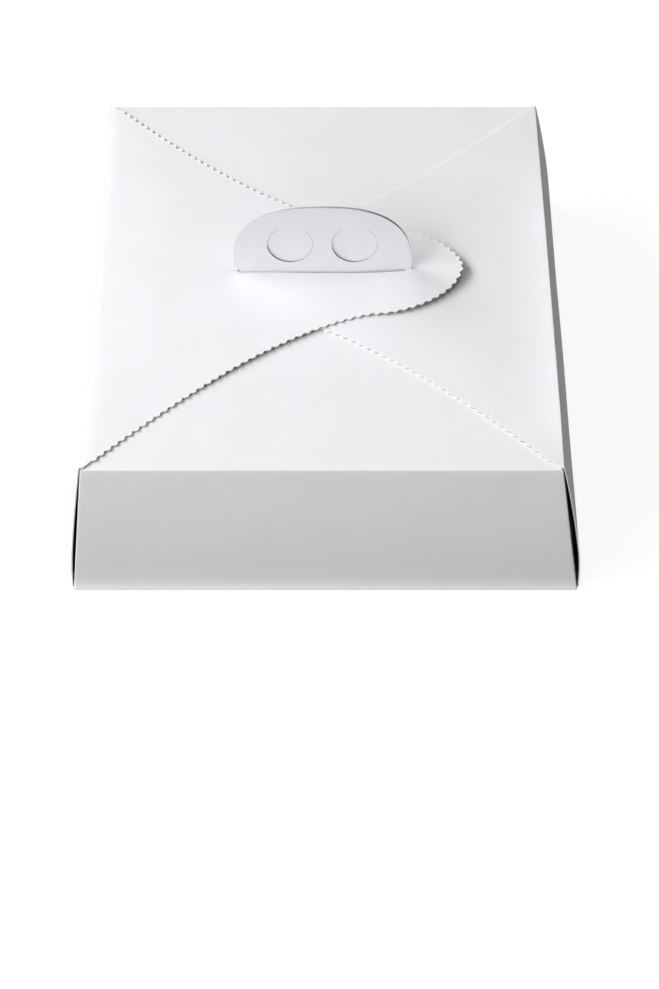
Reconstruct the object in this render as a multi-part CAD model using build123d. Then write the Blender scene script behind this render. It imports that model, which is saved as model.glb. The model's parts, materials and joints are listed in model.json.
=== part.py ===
from build123d import *
import os
from math import asin, atan2, cos, degrees, pi, sin

os.makedirs("parts", exist_ok=True)

# Cake box folded from one blank of white card, closed, with its carry handle standing up.
# The origin is the middle of the base's underside, +X is to the right and -Y to the front.

# Card and folds
card = 0.6  # thickness of the card
fold_radius = 0.8  # outside radius of a creased fold
corner_radius = 1.0  # outside radius of the upright folds at the corners
layer_gap = 0.3  # air between layers that lie on or pass each other

# Box
base_width = 265.0  # outside of the base, left to right
base_depth = 319.0  # outside of the base, front to back
top_width = 250.0  # between the two side creases
top_depth = 304.0  # between the front and back creases
wall_height = 80.0  # up to the front and back creases
side_bow = 2.6  # how far a side wall bulges out of the straight line from base to crease
bow_height = 25.0  # where it bulges most, measured up that line
corner_gap = 0.2  # between a corner tab and the side wall outside it
raw_edge_inset = 0.3  # the side walls' cut ends lie this far behind the front and back walls

# Corner tabs, which fold in from the front and back walls
tab_length = 34.0
tab_foot = 2.0  # the tab starts this far above the base
tab_head = 3.0  # and ends this far below the crease
tab_slope = 9.0  # each tab narrows by this much at its top and at its bottom
tab_stub = 0.3  # wall left beside the fold, above and below the tab

# Front and back flaps, the lowest two, which carry the handle
flap_corner_cut = 1.4  # the crease of a front or back flap stops this far short of the corner
flap_mid_width = 120.0  # width of a front or back flap where the two meet
flap_meeting_gap = 2.0  # between the two flaps, beside the handle

# Handle, two layers back to back
handle_width = 97.6
handle_neck_width = 91.0
handle_height = 48.8  # above the front and back creases
handle_neck_height = 5.8  # the shoulders start this far above the creases
handle_side_height = 9.0  # above this height the outline rounds over
handle_roundness = 2.5  # exponent of the rounded outline, 2 is an ellipse
handle_gap = 0.3  # between the two layers
handle_foot_length = 6.0  # flat length that the fold shares with its flap
handle_fold_inside = 0.3  # inside radius at the handle's foot
handle_fold_outside = 0.5  # outside radius at the handle's foot

# Finger discs, cut nearly all round and pushed back a little at the bottom
disc_radius = 12.5
disc_spacing = 35.2
disc_height = 22.8  # centre above the creases
disc_cut = 0.35  # width of the cut round a disc
disc_hinge_angle = 35.0  # half the uncut arc at a disc's top, in degrees
disc_push = 1.0  # how far the lowest point is pushed back
disc_root = 0.5  # length of card that a disc shares with the handle

# Side flaps, with a long sweep from each corner to a round nose
flap_reach = 201.3  # crease to the tip of the nose
shoulder_reach = 153.5  # crease to where the nose starts
nose_half_width = 35.0  # half of the flap's width where the nose starts
sweep_overshoot = 2.0  # the sweep would pass the corner by this much at the crease
sweep_power = 1.45  # how hollow the sweep is, 1 is straight
nose_power = 0.6  # how full the nose is, 0.5 is an ellipse
flap_root_cut = 0.5  # the flap's crease stops this far short of the corner
scallop_pitch = 5.05
scallop_depth = 0.9
plain_edge = 6.0  # edge without scallops at each corner
flap_tilt = 1.5  # rise of the left flap, which lies on top, in degrees
hinge_gap = 0.3  # the left flap's card starts this far from its hinge line

# Slot in both side flaps, through which the handle stands
slot_end_gap = 1.0  # beyond each side of the handle
slot_recess = 0.9  # extra width in front of the handle's neck
slot_end_radius = 1.0
slit_length = 3.0  # narrow cut that runs on from each end of the slot
slit_width = 0.5

# Sizes that follow from the ones above
side_run = (base_width - top_width) / 2
front_run = (base_depth - top_depth) / 2
side_lean = atan2(side_run, wall_height)
front_lean = atan2(front_run, wall_height)
side_crease = wall_height + layer_gap + card
handle_face = handle_gap / 2 + card
hinge_x = -top_width / 2


def tab_plane_x(height):
    # distance of a corner tab's outer face from the middle
    return base_width / 2 - card - corner_gap - side_run * height / wall_height


def front_plane_y(height):
    # distance of the front and back walls' outer faces from the middle
    return base_depth / 2 - front_run * height / wall_height


def outline(*points):
    return make_face(Polyline(*points, close=True))


def prism_along_x(face):
    return extrude(Plane.YZ * face, amount=base_width, both=True)


def prism_along_y(face):
    return extrude(Plane.XZ * face, amount=base_depth, both=True)


def prism_up(face, low, high):
    return extrude(Plane.XY.offset(low) * face, amount=high - low)


def trapezoid(half_low, half_high, low, high):
    return outline((-half_low, low), (half_low, low), (half_high, high), (-half_high, high))


def leaning_block(inset, low, high):
    # block between two heights whose four sides follow the walls, set in from their outer faces
    in_x = inset / cos(side_lean)
    in_y = inset / cos(front_lean)
    across = trapezoid(tab_plane_x(low) - in_x, tab_plane_x(high) - in_x, low, high)
    along = trapezoid(front_plane_y(low) - in_y, front_plane_y(high) - in_y, low, high)
    return prism_along_y(across) & prism_along_x(along)


def wall_shell():
    # closed shell of base, walls and top, from which the tabs and the lower flaps are cut
    outer = leaning_block(0, 0, wall_height)
    upright = outer.edges().filter_by(lambda edge: abs(edge.tangent_at(0.5).Z) > 0.5)
    outer = fillet(upright, corner_radius)
    level = outer.edges().filter_by(lambda edge: abs(edge.tangent_at(0.5).Z) < 0.01)
    outer = fillet(level, fold_radius)
    return outer - leaning_block(card, card, wall_height - card)


def side_window():
    # opening cut through both sides of the shell, which leaves the four corner tabs
    foot = tab_foot
    head = wall_height - tab_head
    ceiling = wall_height - card
    behind_wall = card / cos(front_lean) + tab_stub
    edge = [
        (front_plane_y(card) - behind_wall, card),
        (front_plane_y(foot) - behind_wall, foot),
        (front_plane_y(foot) - tab_length, foot + tab_slope),
        (front_plane_y(head) - tab_length, head - tab_slope),
        (front_plane_y(head) - behind_wall, head),
        (front_plane_y(ceiling) - behind_wall, ceiling),
    ]
    mirrored = [(-y, z) for y, z in reversed(edge)]
    return prism_along_x(outline(*edge, *mirrored))


def lower_flap_cuts():
    # takes the sides off the front and back flaps, frees the tabs below them and parts the two flaps
    crease_end = top_width / 2 - flap_corner_cut
    crease_y = top_depth / 2 - flap_corner_cut
    beside = outline(
        (base_width, -crease_y),
        (crease_end, -crease_y),
        (flap_mid_width / 2, 0),
        (crease_end, crease_y),
        (base_width, crease_y),
    )
    side_cut = prism_up(beside, wall_height - tab_head, side_crease)
    meeting = Pos(0, 0, wall_height) * Box(base_width, flap_meeting_gap, 4 * card)
    fold_zone = Pos(0, 0, wall_height) * Box(handle_neck_width, handle_foot_length, 4 * card)
    return side_cut + mirror(side_cut, about=Plane.YZ) + meeting + fold_zone


def handle_outline():
    # neck, shoulders, upright sides and a rounded head, seen from the front
    neck = handle_neck_width / 2
    side = handle_width / 2
    shoulder = wall_height + handle_neck_height
    spring = wall_height + handle_side_height
    rise = handle_height - handle_side_height
    below = wall_height - 2 * card
    steps = 12
    head = []
    for step in range(steps + 1):
        angle = pi / 2 * step / steps
        across = side * cos(angle) ** (2 / handle_roundness)
        up = rise * sin(angle) ** (2 / handle_roundness)
        head.append((across, spring + up))
    left_head = [(-x, z) for x, z in reversed(head[:-1])]
    crown = Spline(*head, *left_head, tangents=[(0, 1), (0, -1)])
    frame = Polyline(
        (-side, spring),
        (-side, shoulder),
        (-neck, shoulder),
        (-neck, below),
        (neck, below),
        (neck, shoulder),
        (side, shoulder),
        (side, spring),
    )
    return make_face(crown.edges() + frame.edges())


def handle_strip():
    # the front flap's end, turned up at the handle's foot, as a strip bent once
    foot = handle_face + handle_foot_length
    top = wall_height + handle_height + card
    bend = outline(
        (-foot, wall_height - card),
        (-handle_gap / 2, wall_height - card),
        (-handle_gap / 2, top),
        (-handle_face, top),
        (-handle_face, wall_height),
        (-foot, wall_height),
    )
    outside = bend.vertices().sort_by_distance((-handle_gap / 2, wall_height - card))[0]
    bend = fillet(outside, handle_fold_outside)
    inside = bend.vertices().sort_by_distance((-handle_face, wall_height))[0]
    return prism_along_x(fillet(inside, handle_fold_inside))


def punched(handle, layer_y):
    # cuts the two discs free below their hinge lines and pushes them towards the back
    hinge_drop = disc_radius * cos(disc_hinge_angle * pi / 180)
    centre_z = wall_height + disc_height
    hinge_z = centre_z + hinge_drop
    push = degrees(asin(disc_push / (hinge_drop + disc_radius - disc_cut)))
    below_hinge = Rectangle(2 * base_width, 2 * disc_radius, align=(Align.CENTER, Align.MAX))
    for side in (-1, 1):
        centre = Pos(side * disc_spacing / 2, 0)
        hole = centre * Circle(disc_radius) & Pos(0, hinge_drop) * below_hinge
        disc = centre * Circle(disc_radius - disc_cut) & Pos(0, hinge_drop + disc_root) * below_hinge
        on_layer = Plane(origin=(0, layer_y, centre_z), x_dir=(1, 0, 0), z_dir=(0, -1, 0))
        handle -= extrude(on_layer * hole, amount=card, both=True)
        pushed = extrude(on_layer * disc, amount=card / 2, both=True)
        handle += pushed.rotate(Axis((0, layer_y, hinge_z), (1, 0, 0)), push)
    return handle


def lower_flaps_and_walls():
    # base, front and back walls with their tabs, the two lower flaps and the handle
    body = wall_shell() - side_window() - lower_flap_cuts()
    front = handle_strip() & prism_along_y(handle_outline())
    back = mirror(front, about=Plane.XZ)
    layer_y = handle_gap / 2 + card / 2
    return body + punched(front, -layer_y) + punched(back, layer_y)


def flap_half_width(reach):
    # half of a side flap's width at a distance from its crease
    if reach < shoulder_reach:
        start = top_depth / 2 + sweep_overshoot
        share = 1 - reach / shoulder_reach
        return nose_half_width + (start - nose_half_width) * share**sweep_power
    share = min(1, (reach - shoulder_reach) / (flap_reach - shoulder_reach))
    return nose_half_width * (1 - share**2) ** nose_power


def flap_face(root):
    # a side flap lying flat, its crease along x = 0 and its card starting at x = root
    half_root = top_depth / 2 - flap_root_cut
    start = top_depth / 2 + sweep_overshoot
    share = (half_root - nose_half_width) / (start - nose_half_width)
    corner = shoulder_reach * (1 - share ** (1 / sweep_power))
    steps = 14
    sweep = [corner + (shoulder_reach - corner) * step / steps for step in range(steps)]
    nose = [shoulder_reach + (flap_reach - shoulder_reach) * sin(pi / 2 * step / steps) for step in range(steps)]
    half = [(reach, flap_half_width(reach)) for reach in sweep + nose]
    other = [(reach, -width) for reach, width in reversed(half)]
    path = Spline(*half, (flap_reach, 0), *other)
    count = round((path.length - 2 * plain_edge) / scallop_pitch)
    pitch = (path.length - 2 * plain_edge) / count
    cusps = [path.position_at(plain_edge + pitch * step, PositionMode.LENGTH) for step in range(count + 1)]
    edges = []
    for first, last in zip(cusps, cusps[1:]):
        along = (last - first).normalized()
        outwards = Vector(-along.Y, along.X)
        crest = (first + last) * 0.5 + outwards * scallop_depth
        edges += ThreePointArc(first, crest, last).edges()
    edges += Polyline(cusps[-1], (corner, -half_root), (root, -half_root)).edges()
    edges += Polyline((root, -half_root), (root, half_root), (corner, half_root), cusps[0]).edges()
    return make_face(edges)


def slot_cutter():
    # slot for the handle, wider where the pushed discs pass and in front of the neck, with a slit at each end
    half_length = handle_width / 2 + slot_end_gap
    front = -(handle_face + layer_gap)
    back = handle_face + disc_push + layer_gap
    slot = RectangleRounded(2 * half_length, back - front, slot_end_radius)
    slit = SlotOverall(2 * (half_length + slit_length), slit_width)
    recess = Pos(0, front) * RectangleRounded(handle_neck_width, 2 * slot_recess, slot_recess / 2)
    openings = Pos(0, (front + back) / 2) * (slot + slit) + recess
    return prism_up(openings, wall_height, 2 * wall_height)


def flap_card(root):
    # a side flap on its crease at x = 0, its outer face at z = 0
    return extrude(flap_face(root), amount=-card)


def side_strip(top):
    # right side of the base and the bowed wall above it, bent from one strip, with the wall cut at a height
    foot = Vector(base_width / 2, 0)
    head = Vector(top_width / 2, side_crease)
    chord = (head - foot).normalized()
    belly = foot + chord * bow_height + Vector(chord.Y, -chord.X) * side_bow
    lower_arc = TangentArc(belly, foot, tangent=-chord)
    upper_arc = TangentArc(belly, head, tangent=chord)
    below = Line(foot, foot + (lower_arc % 1) * card)
    above = Line(head, head + (upper_arc % 1) * card)
    bowed = make_face(offset(Wire([lower_arc, upper_arc, below, above]), amount=card, side=Side.RIGHT))
    bowed &= Rectangle(2 * base_width, side_crease, align=(Align.CENTER, Align.MIN))
    base = Pos(foot.X - card / 2, 0) * Rectangle(tab_length, card, align=(Align.MAX, Align.MIN))
    strip = bowed + base
    if top < side_crease:
        strip -= Pos(0, top) * Rectangle(2 * base_width, wall_height, align=(Align.CENTER, Align.MIN))
    else:
        flap_root = Rectangle(2 * fold_radius - card / 2, card, align=(Align.MAX, Align.MAX))
        strip += Pos(head.X - card / 2, head.Y) * flap_root
        strip = fillet(strip.vertices().sort_by_distance(head)[0], fold_radius)
    strip = fillet(strip.vertices().sort_by_distance(foot)[0], fold_radius)
    set_back = raw_edge_inset / cos(front_lean)
    ends = trapezoid(front_plane_y(-card) - set_back, front_plane_y(side_crease + card) - set_back,
                     -card, side_crease + card)
    return prism_along_y(strip) & prism_along_x(ends)


def right_flap():
    flat = Pos(top_width / 2, 0, side_crease) * mirror(flap_card(fold_radius), about=Plane.YZ)
    return flat - slot_cutter()


def carton():
    right_side = side_strip(side_crease)
    left_side = mirror(side_strip(side_crease - card - layer_gap), about=Plane.YZ)
    return lower_flaps_and_walls() + right_side + left_side + right_flap()


def left_flap():
    # the top flap, tilted about its hinge line and slotted over the handle
    hinge = Pos(hinge_x, 0, side_crease) * Rot(0, -flap_tilt, 0)
    return hinge * flap_card(hinge_gap) - slot_cutter()


export_step(carton(), "parts/carton.step")
export_step(left_flap(), "parts/left_flap.step")
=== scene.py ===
import json
import math

import bmesh
import bpy
import numpy as np
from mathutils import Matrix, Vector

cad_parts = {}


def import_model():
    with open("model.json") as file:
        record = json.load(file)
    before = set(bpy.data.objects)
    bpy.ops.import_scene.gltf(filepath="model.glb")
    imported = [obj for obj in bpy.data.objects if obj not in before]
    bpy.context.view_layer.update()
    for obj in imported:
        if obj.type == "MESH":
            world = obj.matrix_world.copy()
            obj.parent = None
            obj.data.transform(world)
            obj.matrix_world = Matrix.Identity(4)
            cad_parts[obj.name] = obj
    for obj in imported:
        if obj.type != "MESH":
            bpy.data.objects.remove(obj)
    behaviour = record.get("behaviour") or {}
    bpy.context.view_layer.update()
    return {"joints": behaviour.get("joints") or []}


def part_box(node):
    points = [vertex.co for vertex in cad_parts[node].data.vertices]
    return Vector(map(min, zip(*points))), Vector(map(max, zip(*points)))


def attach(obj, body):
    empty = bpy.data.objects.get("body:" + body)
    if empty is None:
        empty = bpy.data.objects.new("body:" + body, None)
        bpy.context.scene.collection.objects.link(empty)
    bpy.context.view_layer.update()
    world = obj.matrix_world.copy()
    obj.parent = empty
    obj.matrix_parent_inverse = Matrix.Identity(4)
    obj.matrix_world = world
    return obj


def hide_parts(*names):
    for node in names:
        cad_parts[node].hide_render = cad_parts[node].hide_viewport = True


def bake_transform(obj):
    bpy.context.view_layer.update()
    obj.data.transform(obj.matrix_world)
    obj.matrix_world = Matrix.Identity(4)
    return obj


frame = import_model()

mm = 0.001  # sizes below are in millimetres, the scene is in metres
hinge = frame["joints"][0]  # the left flap's hinge gives the side creases
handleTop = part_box("carton")[1].z / mm

box = {
    "card": 0.6,
    "baseHalfWidth": 132.5,
    "baseHalfDepth": 159.5,
    "topHalfWidth": -hinge["pos_m"][0] / mm,
    "topHalfDepth": 152.0,
    "wallHeight": 80.0,
    "sideCrease": hinge["pos_m"][2] / mm,
    "foldRadius": 0.8,
    "rawEdgeInset": 0.3,
    "rack": 1.85,  # the soft box stands a little askew, its base this far to the right of its top
    "spread": 1.75,  # and its side walls spread by this much at their feet
    "pointSpacing": 3.0,  # between the rows of a sheet where it runs straight
    "baseColumns": 61,
    "baseRows": 73,
    "joinWithin": 0.004,  # points of two grids this close become one
    "sharpAngle": 40.0,
}
waves = {
    "count": 5,
    "shortest": 60.0,
    "longest": 170.0,
    "lastPhase": 6.28,
}
lean = (box["baseHalfWidth"] - box["topHalfWidth"]) / box["wallHeight"]  # of the side walls, inwards


def frontPlane(z):
    # distance of the front and back walls from the middle, falling evenly with height
    return box["baseHalfDepth"] - (box["baseHalfDepth"] - box["topHalfDepth"]) * z / box["wallHeight"]


def smoothStep(value, start, end):
    # 0 before start, 1 after end, and a cubic with level ends between them
    share = np.clip((value - start) / (end - start), 0, 1)
    return share * share * (3 - 2 * share)


def between(value, start, full, fade, end):
    # 0 outside start and end, 1 from full to fade, and a smooth step on each side
    return smoothStep(value, start, full) * (1 - smoothStep(value, fade, end))


def ripple(a, b, seed, size):
    # low uneven waves over two coordinates: the mean of sines that each have a direction, length and phase
    draws = np.random.default_rng(seed)
    turns = draws.uniform(0, math.pi, waves["count"])
    lengths = draws.uniform(waves["shortest"], waves["longest"], waves["count"])
    phases = draws.uniform(0, waves["lastPhase"], waves["count"])
    total = np.zeros(np.broadcast(a, b).shape)
    for turn, length, phase in zip(turns, lengths, phases):
        total += np.sin((a * math.cos(turn) + b * math.sin(turn)) * 2 * math.pi / length + phase)
    return size * total / waves["count"]


def roundedPath(points, radii, steps=7):
    # a path through points in a plane, where each corner with a radius is an arc that touches both its runs
    points = np.asarray(points, float)
    path = [points[:1]]
    for before, corner, after, radius in zip(points, points[1:], points[2:], radii):
        if radius == 0:
            path.append(corner[None])
            continue
        into = (before - corner) / np.linalg.norm(before - corner)
        out = (after - corner) / np.linalg.norm(after - corner)
        half = math.acos(np.clip(into @ out, -1, 1)) / 2
        middle = (into + out) / np.linalg.norm(into + out)
        centre = corner + middle * radius / math.sin(half)
        first = corner + into * radius / math.tan(half) - centre
        last = corner + out * radius / math.tan(half) - centre
        turn = math.acos(np.clip(first @ last / radius**2, -1, 1))
        share = np.linspace(0, 1, steps)[:, None]
        arc = np.sin((1 - share) * turn) * first + np.sin(share * turn) * last
        path.append(centre + arc / math.sin(turn))
    path.append(points[-1:])
    return np.concatenate(path)


def filled(path, spacing):
    # the same path with points added on its long runs, none further apart than the spacing
    runs = np.linalg.norm(np.diff(path, axis=0), axis=1)
    counts = np.maximum(1, np.ceil(runs / spacing)).astype(int)
    places = [index + np.arange(count) / count for index, count in enumerate(counts)]
    place = np.concatenate([*places, [len(runs)]])
    index = np.arange(len(path))
    return np.stack([np.interp(place, index, path[:, axis]) for axis in range(2)], axis=1)


def outwardGrid(grid, outwards):
    # turns a grid's order round if its faces look away from the given direction
    diagonal = grid[1:, 1:] - grid[:-1, :-1]
    other = grid[1:, :-1] - grid[:-1, 1:]
    facing = np.cross(diagonal, other).reshape(-1, 3).sum(axis=0) @ np.asarray(outwards, float)
    return grid if facing > 0 else grid[::-1]


def racked(grid):
    # shifts and widens a grid by amounts that fall evenly from the base to the creases
    x, y, z = np.moveaxis(grid, -1, 0)
    low = np.clip(1 - z / box["wallHeight"], 0, 1)
    return np.stack([x + (box["rack"] + box["spread"] * x / box["baseHalfWidth"]) * low, y, z], axis=-1)


def cardSheet(name, grids, body, edge):
    # one folded sheet from several grids of its white face, joined where they meet and thickened inwards
    points = []
    faces = []
    start = 0
    for grid, outwards in grids:
        grid = racked(outwardGrid(grid, outwards))
        rows, columns = grid.shape[:2]
        number = start + np.arange(rows * columns).reshape(rows, columns)
        corners = [number[:-1, :-1], number[:-1, 1:], number[1:, 1:], number[1:, :-1]]
        faces.append(np.stack(corners, axis=-1).reshape(-1, 4))
        points.append(grid.reshape(-1, 3) * mm)
        start += rows * columns
    mesh = bpy.data.meshes.new(name)
    mesh.from_pydata(np.concatenate(points).tolist(), [], np.concatenate(faces).tolist())
    work = bmesh.new()
    work.from_mesh(mesh)
    bmesh.ops.remove_doubles(work, verts=work.verts, dist=box["joinWithin"] * mm)
    work.to_mesh(mesh)
    work.free()
    mesh.shade_smooth()
    piece = bpy.data.objects.new(name, mesh)
    bpy.context.scene.collection.objects.link(piece)
    for material in (whiteFace, greyFace, edge):
        mesh.materials.append(material)
    solid = piece.modifiers.new("card", "SOLIDIFY")
    solid.thickness = box["card"] * mm
    solid.offset = -1
    solid.material_offset = 1
    solid.material_offset_rim = 2
    bpy.context.view_layer.update()
    evaluated = piece.evaluated_get(bpy.context.evaluated_depsgraph_get())
    thick = bpy.data.meshes.new_from_object(evaluated)
    piece.modifiers.clear()
    piece.data = thick
    thick.name = name
    thick.set_sharp_from_angle(angle=math.radians(box["sharpAngle"]))
    if body:
        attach(piece, body)
    print("made", name, len(thick.polygons), "faces")
    return piece


# Materials

mottle = {
    "cloudScale": 38,
    "cloudDetail": 3,
    "cloudRoughness": 0.55,
    "fibreDetail": 5,
    "fibreRoughness": 0.65,
    "darkest": 0.3,  # the noise is spread out between these two values
    "lightest": 0.7,
}


def newMaterial(name):
    material = bpy.data.materials.new(name)
    material.use_nodes = True
    tree = material.node_tree
    return material, tree, tree.nodes["Principled BSDF"]


def noiseNode(tree, scale, detail, roughness):
    place = tree.nodes.new("ShaderNodeTexCoord")
    noise = tree.nodes.new("ShaderNodeTexNoise")
    noise.inputs["Scale"].default_value = scale
    noise.inputs["Detail"].default_value = detail
    noise.inputs["Roughness"].default_value = roughness
    tree.links.new(place.outputs["Object"], noise.inputs["Vector"])
    return noise


def mappedTo(tree, socket, low, high, fromLow=mottle["darkest"], fromHigh=mottle["lightest"]):
    node = tree.nodes.new("ShaderNodeMapRange")
    node.inputs["From Min"].default_value = fromLow
    node.inputs["From Max"].default_value = fromHigh
    node.inputs["To Min"].default_value = low
    node.inputs["To Max"].default_value = high
    tree.links.new(socket, node.inputs["Value"])
    return node.outputs["Result"]


def mixedColour(tree, factor, first, second):
    node = tree.nodes.new("ShaderNodeMix")
    node.data_type = "RGBA"
    for name, value in (("Factor", factor), ("A", first), ("B", second)):
        socket = [item for item in node.inputs if item.name == name and item.enabled][0]
        if isinstance(value, bpy.types.NodeSocket):
            tree.links.new(value, socket)
        else:
            socket.default_value = value
    return [item for item in node.outputs if item.enabled][0]


def cardFinish(name, look):
    # matt card: broad cloudiness, fine fibre mottle, and a bump of short fibres
    material, tree, shader = newMaterial(name)
    clouds = noiseNode(tree, mottle["cloudScale"], mottle["cloudDetail"], mottle["cloudRoughness"])
    cloud = mappedTo(tree, clouds.outputs["Fac"], 0, 1)
    fibres = noiseNode(tree, look["fibreScale"], mottle["fibreDetail"], mottle["fibreRoughness"])
    fibre = mappedTo(tree, fibres.outputs["Fac"], 0, 1)
    broad = mixedColour(tree, cloud, (*look["light"], 1), (*look["dark"], 1))
    flecked = mixedColour(tree, fibre, broad, (*look["fleck"], 1))
    colour = mixedColour(tree, look["fibreShare"], broad, flecked)
    tree.links.new(colour, shader.inputs["Base Color"])
    tree.links.new(mappedTo(tree, fibre, *look["roughness"], 0, 1), shader.inputs["Roughness"])
    bump = tree.nodes.new("ShaderNodeBump")
    bump.inputs["Strength"].default_value = look["bumpStrength"]
    bump.inputs["Distance"].default_value = look["bumpDepth"] * mm
    tree.links.new(fibre, bump.inputs["Height"])
    tree.links.new(bump.outputs["Normal"], shader.inputs["Normal"])
    shader.inputs["Specular IOR Level"].default_value = look["gloss"]
    return material


whiteFace = cardFinish("whiteFace", {
    "light": (0.872, 0.868, 0.905),
    "dark": (0.852, 0.847, 0.880),
    "fleck": (0.800, 0.790, 0.815),
    "fibreScale": 850,
    "fibreShare": 0.18,
    "roughness": (0.50, 0.62),
    "bumpStrength": 0.35,
    "bumpDepth": 0.04,
    "gloss": 0.35,
})
greyFace = cardFinish("greyFace", {
    "light": (0.430, 0.325, 0.225),
    "dark": (0.385, 0.290, 0.200),
    "fleck": (0.280, 0.205, 0.135),
    "fibreScale": 620,
    "fibreShare": 0.45,
    "roughness": (0.78, 0.90),
    "bumpStrength": 0.6,
    "bumpDepth": 0.07,
    "gloss": 0.2,
})
cutEdge = cardFinish("cutEdge", {
    "light": (0.790, 0.775, 0.760),
    "dark": (0.730, 0.710, 0.690),
    "fleck": (0.560, 0.530, 0.490),
    "fibreScale": 1500,
    "fibreShare": 0.4,
    "roughness": (0.80, 0.92),
    "bumpStrength": 0.5,
    "bumpDepth": 0.05,
    "gloss": 0.2,
})
# Painted highlight: a lighter copy of the cut edge colour for the right side and flap, standing in for the
# light their edges catch from the left lamp
litCutEdge = cardFinish("litCutEdge", {
    "light": (0.870, 0.862, 0.870),
    "dark": (0.835, 0.825, 0.830),
    "fleck": (0.760, 0.750, 0.745),
    "fibreScale": 1500,
    "fibreShare": 0.3,
    "roughness": (0.75, 0.90),
    "bumpStrength": 0.4,
    "bumpDepth": 0.04,
    "gloss": 0.2,
})
# Painted shade: a darker copy of the cut edge colour for the front and back sheets, standing in for the
# shade along the handle's top edge and in the gap between its two layers
shadedHandleEdge = cardFinish("shadedHandleEdge", {
    "light": (0.640, 0.625, 0.610),
    "dark": (0.560, 0.545, 0.530),
    "fleck": (0.420, 0.400, 0.375),
    "fibreScale": 1500,
    "fibreShare": 0.4,
    "roughness": (0.80, 0.92),
    "bumpStrength": 0.5,
    "bumpDepth": 0.05,
    "gloss": 0.2,
})
print("made the card's finishes")


# Base, a plain sheet whose white face lies on the table

def base():
    across = np.linspace(-1, 1, box["baseColumns"]) * (box["baseHalfWidth"] - box["foldRadius"])
    along = np.linspace(-1, 1, box["baseRows"]) * (box["baseHalfDepth"] - box["foldRadius"])
    y, x = np.meshgrid(along, across, indexing="ij")
    grid = np.stack([x, y, np.zeros_like(x)], axis=-1)
    return cardSheet("base", [(grid, (0, 0, -1))], "box", cutEdge)


roof = {
    "rise": 2.0,  # the closed top is this much higher along its middle than at the front and back
    "power": 1.3,
    "footStart": 1.2,  # the lower flaps come down again to the handle's foot over this stretch
    "footEnd": 30.0,
    "shortRun": 6.0,  # a side flap climbs from its crease over this length at its ends
    "longRun": 100.0,  # and over this one in the middle
}


def roofHeight(y):
    # the rise falls from the middle to the front and back creases as a power of the distance
    return roof["rise"] * (1 - np.clip(abs(y) / box["topHalfDepth"], 0, 1) ** roof["power"])


# Front and back sheets: wall with its corner tabs, lower flap and one layer of the handle

panel = {
    "creaseRadius": 0.8,
    "cornerRadius": 0.6,
    "tabGap": 0.8,  # the side wall's thickness and the air inside it
    "flapCornerCut": 1.4,
    "flapMidHalfWidth": 60.0,
    "tabLength": 34.0,
    "tabFoot": 2.0,
    "tabHead": 3.0,
    "tabSlope": 9.0,
    "tabStub": 0.3,
    "tabStart": 2.0,
    "tabRows": 14,
    "tabClear": 0.25,  # the tabs hang on wall rows that end this far below the top crease
    "cornerSteps": 8,
    "columns": 121,
    "tolerance": 0.01,  # for finding rows by their height and columns by their place
    "footStep": 0.002,  # the sheet narrows to the handle's neck within this length
    "waviness": 0.22,
    "waveHeights": (2, 14, 66, 78),  # the wall's waves begin and end between these heights
    "waveEnds": (100, 122),  # and fade between these distances from its middle
    "waveSeed": 3,
    "flapWaviness": 0.04,
    "flapWaveDepths": (4, 20, 135, 150),
    "flapWaveSeed": 9,
    "bulge": 2.0,  # how far the wall swells at half its height
    "flare": 2.7,  # and how far its foot stands out
    "flareHeight": 2.6,
    "flareInsets": (1.6, 0.2),  # on the underside the flare begins and is whole this far from the edge
    "bulgeSlack": 0.5,  # a wall row may lie this far inside the top crease
    "footRows": (1.5, 2.2, 3.0, 4.0, 5.2, 6.6),  # heights of the rows that follow the foot
}
handle = {
    "face": 0.75,  # outer face of a layer, from the middle
    "footRadius": 0.3,
    "seam": 84.0,  # the handle's plate starts here, in the slot
    "neckHalfWidth": 45.5,
    "halfWidth": 48.8,
    "shoulder": 85.8,
    "spring": 89.0,
    "top": handleTop,
    "roundness": 2.5,
    "neckHeight": 0.9,  # its neck goes straight up this far before it widens to the shoulder
    "crownSteps": 64,
    "middleSteps": 40,
    "discX": 17.6,
    "discZ": 102.8,
    "discRadius": 12.5,
    "discCut": 0.15,
    "hingeAngle": 35.0,
    "hingeSlope": 0.2,  # rows that rise less than this from a disc's centre miss its hinge line
    "push": 0.95,
    "pushPower": 1.1,
    "turn": 0.75,  # share by which the left side of a disc goes further back than its middle
    "bend": 0.8,  # the handle curves back by this much at half its height
    "parting": 0.35,  # its back layer stands this much further back at the top right
    "closing": 0.2,  # and this much nearer at the top left
    "partingRun": (-40, 35),
    "rings": 14,
}


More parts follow.
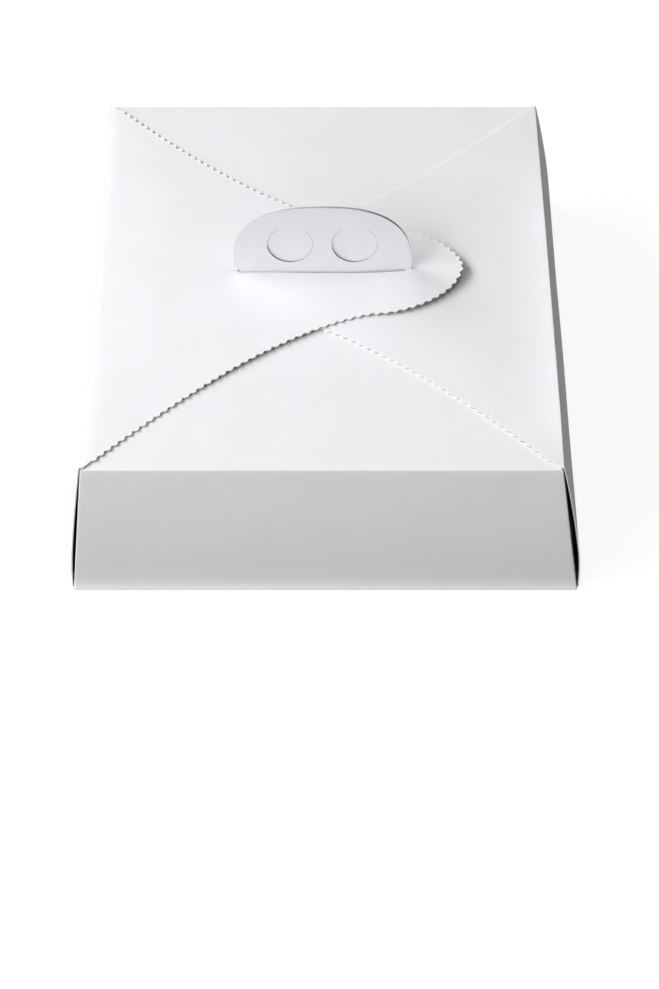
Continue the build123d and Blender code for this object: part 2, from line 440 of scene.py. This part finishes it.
def panelGrid(side):
    # the wall's profile carried from side to side, over the half width that the sheet has at each place
    profile = [
        (box["baseHalfDepth"] - 2 * box["foldRadius"], 0),
        (box["baseHalfDepth"], 0),
        (box["topHalfDepth"], box["wallHeight"]),
        (handle["face"], box["wallHeight"]),
        (handle["face"], handle["seam"]),
    ]
    radii = (box["foldRadius"], panel["creaseRadius"], handle["footRadius"])
    path = roundedPath(profile, radii)[1:]
    foot = np.array([(frontPlane(z), z) for z in panel["footRows"]])
    start = np.argmax(path[:, 1] > foot[0, 1])
    path = np.concatenate([path[:start], foot, path[start:]])
    step = handle["face"] + handle["footRadius"] + panel["tolerance"]
    split = np.argmax(path[:, 0] < step)
    ends = [(step + panel["footStep"], box["wallHeight"]), (step, box["wallHeight"])]
    path = filled(np.concatenate([path[:split], ends, path[split:]]), box["pointSpacing"])
    depth, height = path.T
    tabPlane = box["baseHalfWidth"] - panel["tabGap"] - lean * height
    creaseEnd = box["topHalfDepth"] - panel["flapCornerCut"]
    flapEnd = box["topHalfWidth"] - panel["flapCornerCut"]
    midHalf = panel["flapMidHalfWidth"]
    halfWidth = np.where(depth > creaseEnd, tabPlane - panel["cornerRadius"],
                         midHalf + (flapEnd - midHalf) * depth / creaseEnd)
    halfWidth = np.where(depth < step + panel["footStep"] / 2, handle["neckHalfWidth"], halfWidth)
    across = np.linspace(-1, 1, panel["columns"])
    x = halfWidth[:, None] * across
    y = np.repeat(depth[:, None], len(across), axis=1)
    z = np.repeat(height[:, None], len(across), axis=1)
    onTop = (height > box["wallHeight"] - panel["tolerance"])[:, None]
    onWall = between(z, *panel["waveHeights"]) * (1 - smoothStep(abs(x), *panel["waveEnds"]))
    onFlap = onTop * between(y, *panel["flapWaveDepths"])
    y = y + onWall * (ripple(x, z, panel["waveSeed"] + side, panel["waviness"]) - panel["waviness"])
    up = np.clip(z / box["wallHeight"], 0, 1)
    y = y + panel["bulge"] * 4 * up * (1 - up) * (y > box["topHalfDepth"] - panel["bulgeSlack"])
    inner, outer = (box["baseHalfDepth"] - inset for inset in panel["flareInsets"])
    flared = smoothStep(depth, inner, outer) * (height < box["wallHeight"] / 2)
    y = y + (panel["flare"] * flared * np.exp(-height / panel["flareHeight"]))[:, None]
    z = z + onFlap * ripple(x, y, panel["flapWaveSeed"] + side, panel["flapWaviness"])
    z = z + onTop * roofHeight(y) * smoothStep(y, roof["footStart"], roof["footEnd"])
    wallRows = (height > box["foldRadius"] / 2) & (height < box["wallHeight"] - panel["tabClear"])
    return np.stack([x, side * y, z], axis=-1), wallRows


def tabGrid(edge, side, hand):
    # from the wall's end round the upright fold, and on along the tab, which narrows towards its end
    radius = panel["cornerRadius"]
    height = edge[:, 2]
    share = (height - height[0]) / (height[-1] - height[0])
    turn = np.linspace(0, math.pi / 2, panel["cornerSteps"])
    cornerX = edge[:, 0, None] + hand * radius * np.sin(turn)
    cornerY = edge[:, 1, None] - side * radius * (1 - np.cos(turn))
    cornerZ = np.repeat(height[:, None], len(turn), axis=1)
    rows = np.linspace(panel["tabStart"], panel["tabLength"] - radius, panel["tabRows"])
    reach = np.concatenate([[panel["tabStub"]], rows])
    slope = panel["tabSlope"] * reach / reach[-1]
    low = panel["tabFoot"] + slope
    high = box["wallHeight"] - panel["tabHead"] - slope
    tabZ = low + (high - low) * share[:, None]
    tabX = hand * (box["baseHalfWidth"] - panel["tabGap"] - lean * tabZ)
    tabY = side * (frontPlane(tabZ) - radius - reach)
    corner = np.stack([cornerX, cornerY, cornerZ], axis=-1)
    return np.concatenate([corner, np.stack([tabX, tabY, tabZ], axis=-1)], axis=1)


def halfOutline(neckColumns):
    # half of the handle from the front: foot, neck, shoulder, upright side, superellipse and middle line
    angle = np.linspace(0, math.pi / 2, handle["crownSteps"])
    power = 2 / handle["roundness"]
    crownX = handle["halfWidth"] * np.cos(angle) ** power
    crownZ = handle["spring"] + (handle["top"] - handle["spring"]) * np.sin(angle) ** power
    middle = np.linspace(handle["top"], handle["seam"], handle["middleSteps"])[1:]
    foot = neckColumns[neckColumns >= -panel["tolerance"]]
    neckTop = handle["seam"] + handle["neckHeight"]
    x = [foot, [handle["neckHalfWidth"]] * 2, [handle["halfWidth"]] * 2, crownX[1:-1], [0], 0 * middle]
    z = [0 * foot + handle["seam"], [neckTop, handle["shoulder"]], [handle["shoulder"], handle["spring"]],
         crownZ[1:-1], [handle["top"]], middle]
    return np.concatenate(x), np.concatenate(z)


def handleGrids(side, hand, neckColumns):
    # a plate and its disc, both as rings round the disc's centre, the plate's from the hole to the outline
    outlineX, outlineZ = halfOutline(neckColumns)
    offX = outlineX - handle["discX"]
    offZ = outlineZ - handle["discZ"]
    reach = np.hypot(offX, offZ)
    dirX = offX / reach
    dirZ = offZ / reach
    hingeDrop = handle["discRadius"] * math.cos(math.radians(handle["hingeAngle"]))
    chord = hingeDrop / np.maximum(dirZ, handle["hingeSlope"])
    chord = np.where(dirZ > handle["hingeSlope"], chord, math.inf)
    hole = np.minimum(handle["discRadius"], chord)
    rim = np.minimum(handle["discRadius"] - handle["discCut"], chord)
    share = np.linspace(0, 1, handle["rings"])[:, None]
    plateReach = hole + (reach - hole) * share
    discReach = rim * share
    grids = []
    for ringReach, pushed in ((plateReach, 0), (discReach, handle["push"])):
        x = handle["discX"] + dirX * ringReach
        z = handle["discZ"] + dirZ * ringReach
        below = np.maximum(0, handle["discZ"] + hingeDrop - z) / (hingeDrop + handle["discRadius"])
        across = hand * (x - handle["discX"]) / handle["discRadius"]
        y = side * handle["face"] + pushed * below ** handle["pushPower"] * (1 - handle["turn"] * across)
        up = np.clip((z - handle["seam"]) / (handle["top"] - handle["seam"]), 0, 1)
        toRight = smoothStep(hand * x, *handle["partingRun"])
        apart = handle["parting"] * toRight - handle["closing"] * (1 - toRight)
        y = y + handle["bend"] * 4 * up * (1 - up) + (side > 0) * apart * up
        grids.append(np.stack([hand * x, y, z], axis=-1))
    return grids


def panelSheet(name, side):
    grid, wallRows = panelGrid(side)
    grids = [(grid, (0, side, 1))]
    for hand, column in ((-1, 0), (1, -1)):
        grids.append((tabGrid(grid[wallRows, column], side, hand), (hand, 0, 0)))
        for plate in handleGrids(side, hand, grid[-1, :, 0]):
            grids.append((plate, (0, side, 0)))
    # their cut edges take the darker copy of the edge colour, painted shade along the handle's edges
    return cardSheet(name, grids, "box", shadedHandleEdge)


# Side walls and side flaps

flap = {
    "reach": 201.3,
    "shoulderReach": 153.5,
    "noseHalfWidth": 35.0,
    "sweepOvershoot": 2.0,
    "sweepPower": 1.45,
    "nosePower": 0.6,
    "rootCut": 0.5,
    "rootStart": 1.3,  # the flap's own rows start this far from the crease
    "scallopPitch": 5.05,
    "scallopDepth": 1.3,
    "scallopBack": 0.15,  # the notches go this far into the plain outline
    "backRun": 2.0,
    "plainEdge": 6.0,
    "outlineSteps": 1500,
    "pointsPerScallop": 10,
    "pointClear": 0.12,  # points on the edge keep this far from the rows at the slot's ends
    "tipClear": 0.1,
    "plainPoints": 5,
    "rootPoints": 3,
    "rows": 25,
    "rowPower": 0.9,
    "nearEdge": (3.5, 2.2, 1.4, 0.9, 0.5, 0.25, 0.0),  # the last rows keep these distances from the edge
    "leftCurl": 0.26,  # the tips of the left flap's teeth are bent up by this much
    "rightFrontCurl": 0.07,  # and those of the right flap's down by these
    "rightBackCurl": 0.25,
    "toothReach": 0.8,
    "spineEnd": 193.0,  # at the nose the rows fan out from here
    "slotHalfLength": 46.0,  # the card closes again under the handle's shoulders
    "slotHalfWidth": 1.55,
    "slotMiddle": 0.5,  # the slot lies this far behind the middle, for the discs
    "slotMiddleRun": (2, 40),
    "slotEndRadius": 1.0,
    "slotEndRows": (0.12, 0, -0.12, -0.3, -0.5, -0.7, -0.85, -1),  # rows lie this far past its ends
    "slitLength": 6.8,  # a cut runs on from each end of the slot and closes
    "slitHalfWidth": 0.09,
    "slitStart": 0.01,
    "recessHalfLength": 45.5,
    "recessDepth": 0.9,
    "recessLeft": 0.15,  # the recess is this share of its depth at its left end
    "recessRun": (-48, 40),
    "recessRadius": 0.45,
}
sideWall = {
    "rightBow": 2.6,
    "leftBow": 1.5,
    "bowHeight": 25.0,
    "lowerPoints": 9,
    "upperPoints": 19,
    "creaseRadius": 0.9,
    "leftSink": 0.5,  # how far the left crease gives way at its middle
    "sinkWay": (0.62, 0.78),  # inwards and down, as shares of it
    "rightRise": 2.9,  # how far the right crease stands up
    "riseFade": (30, 140),  # its rise fades over this stretch to the back corner
    "leftReach": 6.0,
    "rightReach": 11.0,
    "softRadius": 1.5,
    "softEnds": (110, 149),  # both creases come back to their straight line over this stretch
    "leftWallTop": 79.7,
    "waviness": 0.25,
    "waveHeights": (2, 14, 60, 76),
    "waveEnds": (120, 148),
    "waveSeed": 20,
}


def wallProfile(bow):
    # section of the right side: fold, two arcs that meet at the belly with a common tangent, and crease
    foot = np.array([box["baseHalfWidth"], 0])
    head = np.array([box["topHalfWidth"], box["sideCrease"]])
    length = np.linalg.norm(head - foot)
    chord = (head - foot) / length
    normal = np.array([chord[1], -chord[0]])
    belly = foot + chord * sideWall["bowHeight"] + normal * bow
    arcs = []
    lower = (-sideWall["bowHeight"], sideWall["lowerPoints"])
    upper = (length - sideWall["bowHeight"], sideWall["upperPoints"])
    for run, points in (lower, upper):
        radius = (run**2 + bow**2) / (2 * bow)
        turn = np.linspace(0, 1, points)[:, None] * math.asin(run / radius)
        arcs.append(belly - normal * radius + radius * (normal * np.cos(turn) + chord * np.sin(turn)))
    wall = np.concatenate([arcs[0][::-1], arcs[1][1:]])
    start = foot - (2 * box["foldRadius"], 0)
    end = head - (flap["rootStart"], 0)
    radii = np.zeros(len(wall))
    radii[0] = box["foldRadius"]
    radii[-1] = sideWall["creaseRadius"]
    return filled(roundedPath([start, *wall, end], radii)[1:], box["pointSpacing"])


def softened(grid, hand):
    # moves a side crease down or up along its middle, most on the crease and less with distance from it
    x, y, z = np.moveaxis(grid, -1, 0)
    away = np.hypot(x - hand * box["topHalfWidth"], z - box["sideCrease"])
    reach = sideWall["rightReach"] if hand > 0 else sideWall["leftReach"]
    near = np.exp(-np.hypot(away, sideWall["softRadius"]) / reach)
    near = near * (1 - smoothStep(abs(y), *sideWall["softEnds"]))
    if hand > 0:
        near = near * (1 - smoothStep(y, *sideWall["riseFade"]))
        return np.stack([x, y, z + sideWall["rightRise"] * near], axis=-1)
    inwards, down = (share * sideWall["leftSink"] * near for share in sideWall["sinkWay"])
    return np.stack([x + inwards, y, z - down], axis=-1)


def edgeShares(near):
    # places along a row as shares of its length, where the last ones keep the given shares from its end
    broad = (1 - near[..., :1]) * np.linspace(0, 1, flap["rows"])[:-1] ** flap["rowPower"]
    return np.concatenate([broad, 1 - near], axis=-1)


def flapEdge():
    # half of a flap's outline: a hollow sweep and a round nose, with scallops raised on it at an even pitch
    half = box["topHalfDepth"] - flap["rootCut"]
    start = box["topHalfDepth"] + flap["sweepOvershoot"]
    share = (half - flap["noseHalfWidth"]) / (start - flap["noseHalfWidth"])
    corner = flap["shoulderReach"] * (1 - share ** (1 / flap["sweepPower"]))
    sweep = np.linspace(corner, flap["shoulderReach"], flap["outlineSteps"])
    hollow = np.clip(1 - sweep / flap["shoulderReach"], 0, 1) ** flap["sweepPower"]
    turn = np.linspace(0, math.pi / 2, flap["outlineSteps"])[1:]
    nose = flap["shoulderReach"] + (flap["reach"] - flap["shoulderReach"]) * np.sin(turn)
    noseWidth = flap["noseHalfWidth"] * np.clip(np.cos(turn), 0, 1) ** (2 * flap["nosePower"])
    reach = np.concatenate([sweep, nose])
    width = np.concatenate([flap["noseHalfWidth"] + (start - flap["noseHalfWidth"]) * hollow, noseWidth])
    along = np.concatenate([[0], np.cumsum(np.hypot(np.diff(reach), np.diff(width)))])
    atShoulder = along[len(sweep) - 1]
    total = along[-1]
    scalloped = 2 * (total - flap["plainEdge"])
    pitch = scalloped / round(scalloped / flap["scallopPitch"])
    fan = (flap["spineEnd"] - flap["shoulderReach"]) * (along - atShoulder) / (total - atShoulder)
    spine = np.where(along < atShoulder, reach, flap["shoulderReach"] + fan)
    distances = [flap["slotHalfLength"] + past for past in (flap["slitLength"], *flap["slotEndRows"])]
    breaks = [box["topHalfWidth"] + way * distance for distance in distances for way in (-1, 1)]
    breaks = np.interp(breaks, spine, along)
    dense = np.arange(flap["plainEdge"], total - flap["tipClear"], pitch / flap["pointsPerScallop"])
    dense = dense[np.min(abs(dense[:, None] - breaks), axis=1) > flap["pointClear"]]
    plain = np.linspace(0, flap["plainEdge"], flap["plainPoints"])[:-1]
    at = np.unique(np.concatenate([plain, dense, breaks, [total]]))
    phase = np.maximum(0, at - flap["plainEdge"]) / pitch
    tooth = (1 - np.cos(2 * math.pi * phase)) / 2
    back = flap["scallopBack"] * smoothStep(at, flap["plainEdge"] - flap["backRun"], flap["plainEdge"])
    raised = flap["scallopDepth"] * tooth - back
    slopeR = np.interp(at, along, np.gradient(reach, along))
    slopeW = np.interp(at, along, np.gradient(width, along))
    size = np.hypot(slopeR, slopeW)
    edgeR = np.interp(at, along, reach) - raised * slopeW / size
    edgeW = np.maximum(0, np.interp(at, along, width) + raised * slopeR / size)
    edgeW[-1] = 0
    root = np.linspace(flap["rootStart"], corner, flap["rootPoints"])[:-1]
    edgeR = np.concatenate([root, edgeR])
    edgeW = np.concatenate([0 * root + half, edgeW])
    spine = np.concatenate([root, np.interp(at, along, spine)])
    return edgeR, edgeW, spine, np.concatenate([0 * root, tooth])


def slotEdge(x, side):
    # half width of the slot at a place across the box: rounded ends, a recess in front, then a closing slit
    radius = flap["slotEndRadius"]
    across = abs(x)
    beyond = across - flap["slotHalfLength"]
    edge = flap["slotHalfWidth"] - radius + np.sqrt(radius**2 - np.clip(beyond + radius, 0, radius) ** 2)
    if side < 0:
        inside = np.clip((flap["recessHalfLength"] - across) / flap["recessRadius"], 0, 1)
        depth = flap["recessLeft"] + (1 - flap["recessLeft"]) * smoothStep(x, *flap["recessRun"])
        edge = edge + flap["recessDepth"] * depth * np.sqrt(1 - (1 - inside) ** 2)
    slit = flap["slitHalfWidth"] * np.clip(1 - beyond / flap["slitLength"], 0, 1)
    return np.where(beyond > flap["slitStart"], slit, edge)


def flapGrid(side, hand, heightAt):
    # half of a flap: rows run straight from the spine, where the slot is, to a point on the scalloped edge
    edgeR, edgeW, spine, tooth = flapEdge()
    inner = side * slotEdge(hand * (box["topHalfWidth"] - spine), side)
    inner = inner + flap["slotMiddle"] * smoothStep(spine, *flap["slotMiddleRun"])
    length = np.hypot(edgeR - spine, side * edgeW - inner)[:, None]
    share = edgeShares(np.array(flap["nearEdge"]) / length)
    reach = spine[:, None] + (edgeR - spine)[:, None] * share
    y = inner[:, None] + (side * edgeW - inner)[:, None] * share
    rightCurl = flap["rightFrontCurl"] if side < 0 else flap["rightBackCurl"]
    most = rightCurl if hand > 0 else flap["leftCurl"]
    curl = most * tooth[:, None] * np.exp(-length * (1 - share) / flap["toothReach"])
    return np.stack([hand * (box["topHalfWidth"] - reach), y, heightAt(reach, y) - hand * curl], axis=-1)


def wallGrid(side, hand, profile):
    # half of a side wall: its section carried from the middle to the cut end behind the front or back wall
    share = edgeShares(np.array(flap["nearEdge"]) / box["topHalfDepth"])
    end = frontPlane(profile[:, 1]) - box["rawEdgeInset"]
    end = np.where(profile[:, 1] > box["wallHeight"], box["topHalfDepth"] - flap["rootCut"], end)
    y = side * end[:, None] * share
    x = np.repeat(profile[:, :1], len(share), axis=1)
    z = np.repeat(profile[:, 1:], len(share), axis=1)
    inWall = between(z, *sideWall["waveHeights"]) * (1 - smoothStep(abs(y), *sideWall["waveEnds"]))
    x = x + inWall * ripple(y, z, sideWall["waveSeed"] + hand, sideWall["waviness"])
    return np.stack([hand * x, y, z], axis=-1)


def onRoof(reach, y):
    # a side flap climbs from its crease to where the lower flaps carry it, sooner at its ends than between
    off = np.maximum(0, reach - flap["rootStart"])
    inwards = 1 - np.clip(abs(y) / box["topHalfDepth"], 0, 1)
    run = roof["shortRun"] + (roof["longRun"] - roof["shortRun"]) * inwards
    return box["sideCrease"] + roofHeight(y) * (1 - (1 - np.clip(off / run, 0, 1)) ** 2)


rightFlap = {
    "waves": 0.04,
    "waveRun": (6, 40),
    "waveSeed": 31,
}
leftFlap = {
    "spring": 0.6,  # the card stands up by this much just inside its crease
    "springReach": 4.0,
    "springFade": 30.0,
    "overRight": 1.0,  # its middle passes this much higher, over the right flap
    "overRun": (5, 40),
    "overEnds": (30, 110),
    "noseLift": 3.1,
    "noseRun": (136, 205),
    "frontLift": 0.8,  # its front edge stands up before it comes to the right flap
    "frontRun": (25, 85, 100, 150),
    "frontEnds": (25, 80),
    "ridgeHeight": 1.2,
    "ridgeStart": 174.0,
    "ridgeFull": 4.0,  # the ridge is whole this far before the tip
    "ridgeSink": 0.5,  # beside the ridge the nose is lower by this share of its height
    "ridgeNarrow": 3.0,
    "ridgeWide": 10.0,
    "waves": 0.1,
    "waveRun": (10, 60),
    "waveSeed": 47,
}


def rightFlapHeight(reach, y):
    waviness = smoothStep(reach, *rightFlap["waveRun"])
    return onRoof(reach, y) + waviness * ripple(reach, y, rightFlap["waveSeed"], rightFlap["waves"])


def leftFlapHeight(reach, y):
    # the roof, a spring at the crease, lifts over the right flap, at the nose and in front, and a ridge on
    # the nose that falls off as exp(-(y / half width)^2) and widens to the tip
    off = np.maximum(0, reach - flap["rootStart"])
    spring = leftFlap["spring"] * (1 - np.exp(-off / leftFlap["springReach"]))
    spring = spring * np.exp(-off / leftFlap["springFade"])
    over = leftFlap["overRight"] * smoothStep(reach, *leftFlap["overRun"])
    over = over * (1 - smoothStep(abs(y), *leftFlap["overEnds"]))
    front = between(reach, *leftFlap["frontRun"]) * smoothStep(-y, *leftFlap["frontEnds"])
    lift = leftFlap["noseLift"] * smoothStep(reach, *leftFlap["noseRun"]) + leftFlap["frontLift"] * front
    toTip = smoothStep(reach, leftFlap["ridgeStart"], flap["reach"] - leftFlap["ridgeFull"])
    halfWidth = leftFlap["ridgeNarrow"] + (leftFlap["ridgeWide"] - leftFlap["ridgeNarrow"]) * toTip
    ridge = leftFlap["ridgeHeight"] * toTip * (np.exp(-((y / halfWidth) ** 2)) - leftFlap["ridgeSink"])
    waving = ripple(reach, y, leftFlap["waveSeed"], leftFlap["waves"])
    waving = smoothStep(reach, *leftFlap["waveRun"]) * waving
    return onRoof(reach, y) + spring + over + lift + ridge + waving


def rightSide():
    profile = wallProfile(sideWall["rightBow"])
    grids = []
    for side in (-1, 1):
        wall = wallGrid(side, 1, profile)
        top = flapGrid(side, 1, rightFlapHeight)
        whole = np.concatenate([wall[:-1], top])
        grids.append((softened(whole, 1), (1, 0, 1)))
    # its cut edges take the lighter copy of the edge colour, a painted highlight
    return cardSheet("right_side_and_flap", grids, "box", litCutEdge)


def leftProfiles():
    # section of the left side in two parts, the wall up to its top and the crease from there to the flap
    profile = wallProfile(sideWall["leftBow"])
    top = sideWall["leftWallTop"]
    start = np.argmax(profile[:, 1] >= top)
    x, z = profile[start - 1]
    head = (x + (box["topHalfWidth"] - x) * ((top - z) / (box["sideCrease"] - z)), top)
    root = (box["topHalfWidth"] - flap["rootStart"], box["sideCrease"])
    return np.concatenate([profile[:start], [head]]), np.concatenate([[head], profile[start:-1], [root]])


def leftSide():
    profile = leftProfiles()[0]
    grids = [(softened(wallGrid(side, -1, profile), -1), (-1, 0, 0)) for side in (-1, 1)]
    return cardSheet("left_side", grids, "box", cutEdge)


def leftCrease():
    # the short stretch of card that bends where the flap opens, between the wall and the flap
    profile = leftProfiles()[1]
    grids = [(softened(wallGrid(side, -1, profile), -1), (-1, 0, 1)) for side in (-1, 1)]
    piece = cardSheet("left_crease", grids, None, cutEdge)
    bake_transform(piece)
    return piece


def topFlap():
    grids = [(softened(flapGrid(side, -1, leftFlapHeight), -1), (0, 0, 1)) for side in (-1, 1)]
    return cardSheet("left_flap_card", grids, "top_flap", cutEdge)


base()
frontPiece = panelSheet("front_wall_and_flap", -1)
panelSheet("back_wall_and_flap", 1)
rightSide()
leftSide()
leftCrease()
flapPiece = topFlap()
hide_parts("carton")
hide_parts("left_flap")

# Floor, lights and camera

studio = {
    "floorHalf": 6.0,
    "floorDrop": 0.0002,
    "floorColour": (0.17, 0.15, 0.13, 1),
    "floorRoughness": 0.9,
    "floorGlow": 0.90,
    "worldStrength": 0.09,
    "aimHeight": 0.06,
}
lamps = {
    "key": {
        "place": (-2.32, -0.30, 1.98),
        "size": (5.8, 1.3),  # as wide and low as a long window
        "power": 157.0,
        "colour": (1.0, 0.995, 0.985),
    },
    "fill": {
        "place": (-0.45, -1.5, 0.62),
        "size": (1.2, 0.9),
        "power": 5.9,
        "colour": (1.0, 0.995, 0.99),
    },
    "sky": {
        "place": (0.2, 0.35, 2.6),
        "size": (1.2, 1.2),
        "power": 9.5,
        "colour": (1.0, 0.995, 0.99),
    },
}
view = {
    "lens": 106.36,
    "sensorWidth": 36.0,
    "clipEnd": 30.0,
    "place": (0.0040, -1.2216, 1.1318),
    "tilt": 45.0,
}


def floor():
    half = studio["floorHalf"]
    square = ((-half, -half), (half, -half), (half, half), (-half, half))
    corners = [(x, y, -studio["floorDrop"]) for x, y in square]
    mesh = bpy.data.meshes.new("floor")
    mesh.from_pydata(corners, [], [(0, 1, 2, 3)])
    piece = bpy.data.objects.new("floor", mesh)
    bpy.context.scene.collection.objects.link(piece)
    material, tree, shader = newMaterial("floorWhite")
    shader.inputs["Base Color"].default_value = studio["floorColour"]
    shader.inputs["Roughness"].default_value = studio["floorRoughness"]
    rays = tree.nodes.new("ShaderNodeLightPath")
    seen = rays.outputs["Is Camera Ray"]
    for name in ("Is Glossy Ray", "Is Transmission Ray"):
        either = tree.nodes.new("ShaderNodeMath")
        either.operation = "MAXIMUM"
        tree.links.new(seen, either.inputs[0])
        tree.links.new(rays.outputs[name], either.inputs[1])
        seen = either.outputs["Value"]
    strength = tree.nodes.new("ShaderNodeMath")
    strength.operation = "MULTIPLY"
    strength.inputs[1].default_value = studio["floorGlow"]
    tree.links.new(seen, strength.inputs[0])
    glow = tree.nodes.new("ShaderNodeEmission")
    tree.links.new(strength.outputs["Value"], glow.inputs["Strength"])
    both = tree.nodes.new("ShaderNodeAddShader")
    tree.links.new(shader.outputs["BSDF"], both.inputs[0])
    tree.links.new(glow.outputs["Emission"], both.inputs[1])
    tree.links.new(both.outputs["Shader"], tree.nodes["Material Output"].inputs["Surface"])
    mesh.materials.append(material)


def world():
    # plain grey light, and white where the camera or a reflection looks past the floor
    light = bpy.data.worlds.new("studio")
    light.use_nodes = True
    tree = light.node_tree
    rays = tree.nodes.new("ShaderNodeLightPath")
    seen = mappedTo(tree, rays.outputs["Is Camera Ray"], studio["worldStrength"], 1, 0, 1)
    tree.links.new(seen, tree.nodes["Background"].inputs["Strength"])
    tree.nodes["Background"].inputs["Color"].default_value = (1, 1, 1, 1)
    bpy.context.scene.world = light


def softbox(name, lamp):
    # a rectangular lamp that faces the middle of the box
    light = bpy.data.lights.new(name, "AREA")
    light.shape = "RECTANGLE"
    light.size, light.size_y = lamp["size"]
    light.energy = lamp["power"]
    light.color = lamp["colour"]
    piece = bpy.data.objects.new(name, light)
    bpy.context.scene.collection.objects.link(piece)
    piece.location = lamp["place"]
    x, y, z = np.array([0, 0, studio["aimHeight"]]) - np.array(lamp["place"])
    piece.rotation_euler = (math.atan2(math.hypot(x, y), -z), 0, math.atan2(-x, y))


def camera():
    # the photograph looks down at 45 degrees from straight in front
    lens = bpy.data.cameras.new("camera")
    lens.lens = view["lens"]
    lens.sensor_width = view["sensorWidth"]
    lens.clip_end = view["clipEnd"]
    eye = bpy.data.objects.new("camera", lens)
    bpy.context.scene.collection.objects.link(eye)
    eye.location = view["place"]
    eye.rotation_euler = (math.radians(view["tilt"]), 0, 0)
    bpy.context.scene.camera = eye


floor()
world()
for name, lamp in lamps.items():
    softbox(name, lamp)
camera()
bpy.context.scene.view_settings.view_transform = "Standard"
print("made the floor, lights and camera")
